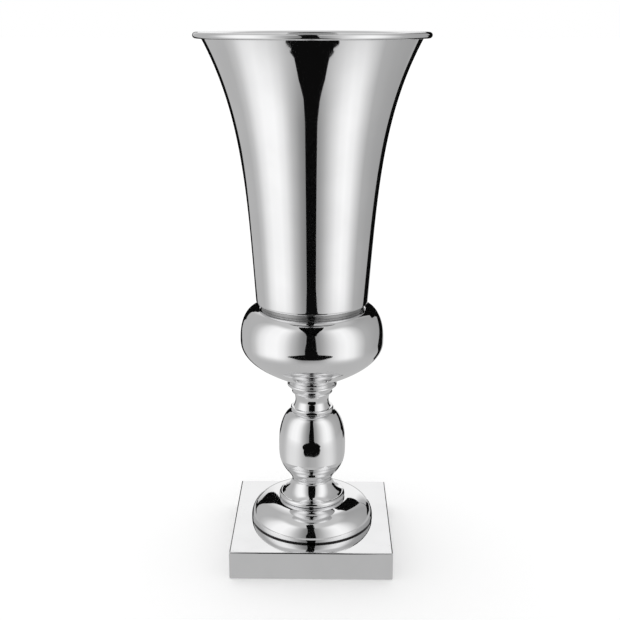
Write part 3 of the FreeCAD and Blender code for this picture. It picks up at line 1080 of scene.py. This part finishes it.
LOWER_STEM = ("baluster", "stem_spool", "stem_collar")
ALL_BUT_DOME = ("trumpet_bowl", "seat_ring", "knop_shell", "plinth_shell", *LOWER_STEM)
CARDS = (
    Card("gap_upright", Shape.UPRIGHT, 0.85, (
        (0.0045, -0.145, 0.12), (0.2, -0.15, 0.11), (0.45, -0.12, 0.1), (0.7, -0.125, 0.09),
        (1.0, -0.14, 0.08), (1.4, -0.2, 0.12), (1.896, -0.26, 0.1))),
    Card("gap_wide", Shape.UPRIGHT, 0.84, ((0.062, -0.3, 0.28), (1.896, -0.3, 0.28)),
         ("stem_spool", "stem_collar")),
    Card("gap_overhead", Shape.OVERHEAD, 1.896, (
        (-0.85, -0.26, 0.1), (-0.55, -0.25, 0.08), (-0.37, -0.09, 0.02))),
    Card("gap_ceiling", Shape.LEVEL, 1.896, ((0.001, -180, 180), (0.3, -180, 180))),
    Card("gap_shoulder", Shape.LEVEL, 0.318, (
        (0.0775, -13.8, 13.4), (0.082, -13.5, 13), (0.088, -11.5, 11.5), (0.095, -8.8, 8.8),
        (0.105, -6.5, 6.5), (0.12, -5.5, 5.5)), ("knop_shell",)),
    Card("gap_runner", Shape.SHELF, 0.0045, (
        (0.3, -31, 33), (0.562, -31, 33), (0.568, -28, 32), (0.572, -24.5, 26), (0.579, -25, 26),
        (0.586, -27, 27.5), (0.594, -24, 24.5), (0.602, -21.5, 21.5), (0.61, -21, 21), (0.685, -17, 17),
        (0.765, -11, 11), (0.87, -9.8, 8)), ("trumpet_bowl",)),
    Card("gap_low_shelf", Shape.SHELF, 0.06, (
        (0.19, -20, -2), (0.2, -26, 24), (0.25, -26, 27), (0.3, -30, 25), (0.37, -30, 28),
        (0.5, -24, 21.5), (0.58, -18, 18), (0.66, -11.5, 12), (0.75, -9.8, 9.5), (0.85, -8.3, 8.3)),
         LOWER_STEM),
    Card("gap_high_shelf", Shape.SHELF, 0.18, (
        (0.318, -14, 10), (0.345, -26, 22), (0.36, -34, 28), (0.385, -32, 30), (0.42, -23.5, 26),
        (0.455, -17, 18), (0.485, -10, 10), (0.52, -8.8, 8.8), (0.85, -8.3, 8.3)),
         ("knop_shell", "seat_ring")),
    Card("stem_fill", Shape.SHELF, 0.058, ((0.1, -138, 122), (0.9, -138, 122)), ("baluster",),
         Look.STEM_LIGHT),
    Card("rear_flag_left", Shape.CURVED, 0.87, (
        (0.0045, -143, -164), (0.1, -147, -165), (0.2, -146, -164), (0.3, -140, -166),
        (0.385, -143, -171), (0.41, -144, -166), (0.56, -149, -166), (0.62, -152, -172),
        (0.7, -157, -170)), ALL_BUT_DOME),
    Card("rear_flag_right", Shape.CURVED, 0.87, (
        (0.0045, 124, 148), (0.1, 128, 153), (0.2, 132, 158), (0.3, 136, 162), (0.38, 142, 164),
        (0.48, 139, 164), (0.58, 132, 167), (0.62, 133, 172), (0.7, 142, 172), (0.8, 144, 170),
        (0.9, 148, 164), (1.05, 150, 162)), ALL_BUT_DOME),
    Card("knop_flag_left", Shape.CURVED, 0.865, ((0.3, -150, -172), (0.62, -150, -172)), ("knop_shell",)),
    Card("knop_flag_right", Shape.CURVED, 0.865, (
        (0.2, 150, 172), (0.6, 150, 173), (0.72, 152, 168)), ("knop_shell",)),
    Card("dome_flag_left", Shape.CURVED, 0.865, (
        (0.0045, -124, -150), (0.05, -128, -148), (0.09, -134, -143), (0.24, -139, -149),
        (0.27, -139, -160), (0.35, -141, -164), (0.46, -144, -169), (0.54, -147, -175),
        (0.61, -152, -175.5), (0.66, -161, -175), (0.7, -166, -174), (0.79, -169, -173),
        (0.98, -169, -171)), ("foot_dome",)),
    Card("dome_flag_right", Shape.CURVED, 0.865, (
        (0.0045, 122, 148), (0.1, 126, 148), (0.16, 137, 141), (0.2, 140, 141), (0.44, 147, 147.2),
        (0.46, 147, 149), (0.48, 147, 158), (0.52, 146.5, 171), (0.6, 146, 174), (0.62, 146, 176),
        (0.77, 146, 171), (0.91, 146.5, 165), (0.99, 147, 150)), ("foot_dome",)),
    Card("floor_flag_left", Shape.SHELF, 0.0045, (
        (0.37, -165, -150), (0.52, -158, -140), (0.7, -161, -142), (0.87, -164, -143))),
    Card("floor_flag_right", Shape.SHELF, 0.0045, ((0.4, 131, 150), (0.6, 130, 148), (0.87, 124, 148))),
)


@dataclass
class Studio:
    """White floor and background, soft light and what the mirror metal reflects."""

    floor_size: float = 60.0
    floor_lift: float = 0.055
    sky_strength: float = 0.9
    sun_strength: float = 0.35
    sun_angle: float = 40.0
    sun_lean: float = 12.0
    tent_radius: float = 0.95
    tent_height: float = 1.9
    tent_corner: float = 0.05
    tent_corner_spans: int = 6
    tent_steps: int = 96
    tent_floor_level: float = 0.0005
    grey_floor_radius: float = 0.3
    floor_grey: float = 0.52
    ceiling_grey: float = 0.6
    ceiling_grey_start: float = 1.14
    card_black: float = 0.004
    level_margin: float = 0.0005
    stem_light: float = 0.6
    stem_light_share: float = 0.5
    stem_light_radii: Point = (0.15, 0.7)
    panel_greys: tuple[Point, ...] = (
        (-180, 1.0), (-168, 1.0), (-156, 0.7), (-145, 0.5), (-110, 0.5), (-98, 0.62), (-86, 0.9),
        (-72, 1.08), (-54, 1.1), (-42, 0.93), (-30, 0.58), (-18, 0.33), (-11, 0.25), (11, 0.35),
        (18, 0.47), (30, 0.75), (42, 1.0), (54, 1.1), (66, 1.0), (78, 0.72), (90, 0.48), (110, 0.42),
        (135, 0.38), (150, 0.5), (160, 1.0), (180, 1.0),
    )
    cards: tuple[Card, ...] = CARDS

    def build(self) -> None:
        """Builds the whole studio."""
        self.light_world()
        self.add_sun()
        self.add_floor()
        self.show_in_metal(self.tent(), "tent_panels", self.tent_surface)
        for card in self.cards:
            self.show_in_metal(card.build(), "card_" + card.look.value, partial(self.card_surface, card))

    def light_world(self) -> None:
        """Makes the surroundings white: full white when seen and in metal, dimmer as light."""
        world = bpy.data.worlds.new("studio_white")
        bpy.context.scene.world = world
        world.use_nodes = True
        graph = ShaderGraph(world.node_tree)
        rays = graph.node("ShaderNodeLightPath").outputs
        seen = graph.maths("MAXIMUM", rays["Is Camera Ray"], rays["Is Glossy Ray"])
        seen = graph.maths("MAXIMUM", seen, rays["Is Transmission Ray"])
        strength = graph.remap(seen, (0.0, 1.0), (self.sky_strength, 1.0))
        graph.feed(world.node_tree.nodes["Background"], {"Color": rgba(1.0), "Strength": strength})

    def add_sun(self) -> None:
        """Adds a very soft lamp from above and behind, for the shadow on the floor."""
        lean = math.radians(-self.sun_lean)
        bpy.ops.object.light_add(type="SUN", rotation=(lean, lean / 2, 0.0))
        lamp = bpy.context.object
        lamp.name = "soft_sun"
        lamp.data.energy = self.sun_strength
        lamp.data.angle = math.radians(self.sun_angle)
        lamp.visible_glossy = False

    def add_floor(self) -> None:
        """Adds the plain white floor, which the camera sees a little lighter."""
        bpy.ops.mesh.primitive_plane_add(size=self.floor_size)
        floor = bpy.context.object
        floor.name = "studio_floor"
        material = bpy.data.materials.new("floor_white")
        material.use_nodes = True
        graph = ShaderGraph(material.node_tree)
        seen = graph.node("ShaderNodeLightPath").outputs["Is Camera Ray"]
        graph.feed(material.node_tree.nodes["Principled BSDF"], {
            "Base Color": rgba(1.0), "Roughness": 1.0, "Specular IOR Level": 0.0, "Emission Color": rgba(1.0),
            "Emission Strength": graph.maths("MULTIPLY", seen, self.floor_lift)})
        floor.data.materials.append(material)

    def show_in_metal(self, thing: bpy.types.Object, name: str,
                      surface: Callable[[ShaderGraph], Socket]) -> None:
        """Dresses the tent or a card and lets it show only in reflections.

        Args:
            thing: The tent or card.
            name: Name of its material.
            surface: Adds the material's nodes to a graph and returns their shader.
        """
        material = bpy.data.materials.new(name)
        material.use_nodes = True
        material.cycles.emission_sampling = "NONE"
        material.node_tree.nodes.clear()
        graph = ShaderGraph(material.node_tree)
        graph.node("ShaderNodeOutputMaterial", {"Surface": surface(graph)})
        thing.data.materials.clear()
        thing.data.materials.append(material)
        for kind in ("camera", "diffuse", "transmission", "volume_scatter", "shadow"):
            setattr(thing, "visible_" + kind, False)

    def tent(self) -> bpy.types.Object:
        """Turns the tent: floor, rounded corner, wall, rounded corner, ceiling.

        Returns:
            The tent, without a material.
        """
        floor, top, corner = self.tent_floor_level, self.tent_height, self.tent_corner
        inner = self.tent_radius - corner
        profile = [(0.0, floor)]
        profile += bend((inner, floor + corner), corner, -90, 0, self.tent_corner_spans)
        profile += bend((inner, top - corner), corner, 0, 90, self.tent_corner_spans)
        profile += [(0.0, top)]
        return turn_outline("light_tent", profile, self.tent_steps)

    def panels(self, graph: ShaderGraph) -> tuple[Socket, Socket, Socket]:
        """Grey of the panels, by direction round the vase.

        Args:
            graph: Nodes of the material.

        Returns:
            The colour, and the shaded place's distance from the axis and height.
        """
        x, y, z = graph.split()
        turn = graph.maths("ARCTAN2", x, graph.maths("MULTIPLY", y, -1.0))
        share = graph.maths("ADD", graph.maths("DIVIDE", turn, 2 * math.pi), 0.5)
        ramp = graph.node("ShaderNodeValToRGB", {"Fac": share})
        stops = ramp.color_ramp.elements
        stops[0].color = rgba(self.panel_greys[0][1])
        stops[-1].color = rgba(self.panel_greys[-1][1])
        for angle, value in self.panel_greys[1:-1]:
            stops.new(angle / FULL_TURN + 0.5).color = rgba(value)
        squares = graph.maths("ADD", graph.maths("MULTIPLY", x, x), graph.maths("MULTIPLY", y, y))
        return ramp.outputs["Color"], graph.maths("SQRT", squares), z

    def tent_surface(self, graph: ShaderGraph) -> Socket:
        """Panels graded by direction, with a grey floor near the vase and a grey ceiling.

        Args:
            graph: Nodes of the material.

        Returns:
            The shader.
        """
        colour, distance, height = self.panels(graph)
        far = graph.remap(distance, (self.grey_floor_radius, self.tent_radius))
        low = graph.blend(far, rgba(self.floor_grey), colour)
        high = graph.remap(height, (self.ceiling_grey_start, self.tent_height))
        colour = graph.blend(high, low, rgba(self.ceiling_grey))
        return graph.node("ShaderNodeEmission", {"Color": colour}).outputs[0]

    def card_surface(self, card: Card, graph: ShaderGraph) -> Socket:
        """Look of a card, clear where the card is not to be seen.

        Args:
            card: The card.
            graph: Nodes of the material.

        Returns:
            The shader.
        """
        if card.look is Look.BLACK:
            surface = graph.node("ShaderNodeBsdfDiffuse", {"Color": rgba(self.card_black)}).outputs[0]
        else:
            colour, distance, _ = self.panels(graph)
            share = graph.remap(distance, self.stem_light_radii, (self.stem_light_share, 0.0))
            colour = graph.blend(share, colour, rgba(self.stem_light))
            surface = graph.node("ShaderNodeEmission", {"Color": colour}).outputs[0]
        clear_shares = []
        if card.shape is Shape.SHELF:
            clear_shares.append(graph.node("ShaderNodeNewGeometry").outputs["Backfacing"])
        if card.seen_by:
            clear_shares.append(self.missed(graph, card.seen_by))
        for share in clear_shares:
            clear = graph.node("ShaderNodeBsdfTransparent").outputs[0]
            surface = graph.node("ShaderNodeMixShader", {0: share, 1: surface, 2: clear}).outputs[0]
        return surface

    def missed(self, graph: ShaderGraph, nodes: Nodes) -> Socket:
        """Whether a reflection starts at a height where none of some CAD nodes is.

        That height follows from the reflected ray alone, wherever the camera stands. Where one
        node ends and the next begins, it counts as the lower one's.

        Args:
            graph: Nodes of the material.
            nodes: Names of the CAD nodes.

        Returns:
            1 for such a reflection, 0 for one that starts at the height of one of the nodes.
        """
        geometry = graph.node("ShaderNodeNewGeometry").outputs
        height, climb = (graph.split(geometry[name])[2] for name in ("Position", "Incoming"))
        length = graph.node("ShaderNodeLightPath").outputs["Ray Length"]
        start = graph.maths("ADD", height, graph.maths("MULTIPLY", climb, length))
        start = graph.maths("SUBTRACT", start, self.level_margin)
        result = None
        for node in nodes:
            low, high = levels(node)
            below = graph.maths("LESS_THAN", start, low)
            outside = graph.maths("MAXIMUM", below, graph.maths("GREATER_THAN", start, high))
            result = outside if result is None else graph.maths("MINIMUM", result, outside)
        return result


@dataclass
class PhotoCamera:
    """Camera at the photograph's place and angle, its distance and height in plinth sides."""

    plinth_side: float = 0.189
    distance_sides: float = 6.0
    height_sides: float = 3.307
    azimuth: float = 0.8
    pitch: float = 16.12
    focal_pixels: float = 1012.6
    axis_pixel: float = 312.3

    def build(self) -> None:
        """Adds the camera and makes it the scene's."""
        turn = math.radians(self.azimuth)
        distance = self.distance_sides * self.plinth_side
        aim = math.atan2(self.axis_pixel - PHOTO_SIZE / 2, self.focal_pixels)
        place = (distance * math.sin(turn), -distance * math.cos(turn), self.height_sides * self.plinth_side)
        tilt = math.radians(90.0 - self.pitch)
        deselect_everything()
        bpy.ops.object.camera_add(location=place, rotation=(tilt, 0.0, turn + aim))
        camera = bpy.context.object
        camera.name = "photo_camera"
        camera.data.sensor_width = SENSOR_WIDTH
        camera.data.lens = self.focal_pixels / PHOTO_SIZE * SENSOR_WIDTH
        bpy.context.scene.camera = camera


def dress_hardware(nodes: dict[str, bpy.types.Object]) -> None:
    """Gives the CAD nodes that stay as they are their materials.

    Args:
        nodes: CAD node name to object.
    """
    for name, finish in HARDWARE.items():
        materials = nodes[name].data.materials
        materials.clear()
        materials.append(finish.material())
        LOG.info("%s: dressed as %s", name, finish.name)


def main() -> None:
    """Builds the vase, its studio and its camera."""
    logging.basicConfig(level=logging.INFO, format="%(name)s: %(message)s")
    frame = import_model()
    bpy.context.scene.view_settings.view_transform = "Standard"
    pieces = [
        TrumpetBowl(), SeatRing(), Knop(), StemCollar(), Baluster(), StemSpool(), FootDome(),
        FlatRing(node="bowl_washer"), FlatRing(node="bowl_seal", slot=Slot.BLACK_RUBBER, finish=RUBBER),
        CapNut(), Plinth(),
    ]
    for piece in pieces:
        piece.build()
    dress_hardware(frame["nodes"])
    Studio().build()
    PhotoCamera().build()


if __name__ == "__main__":
    main()
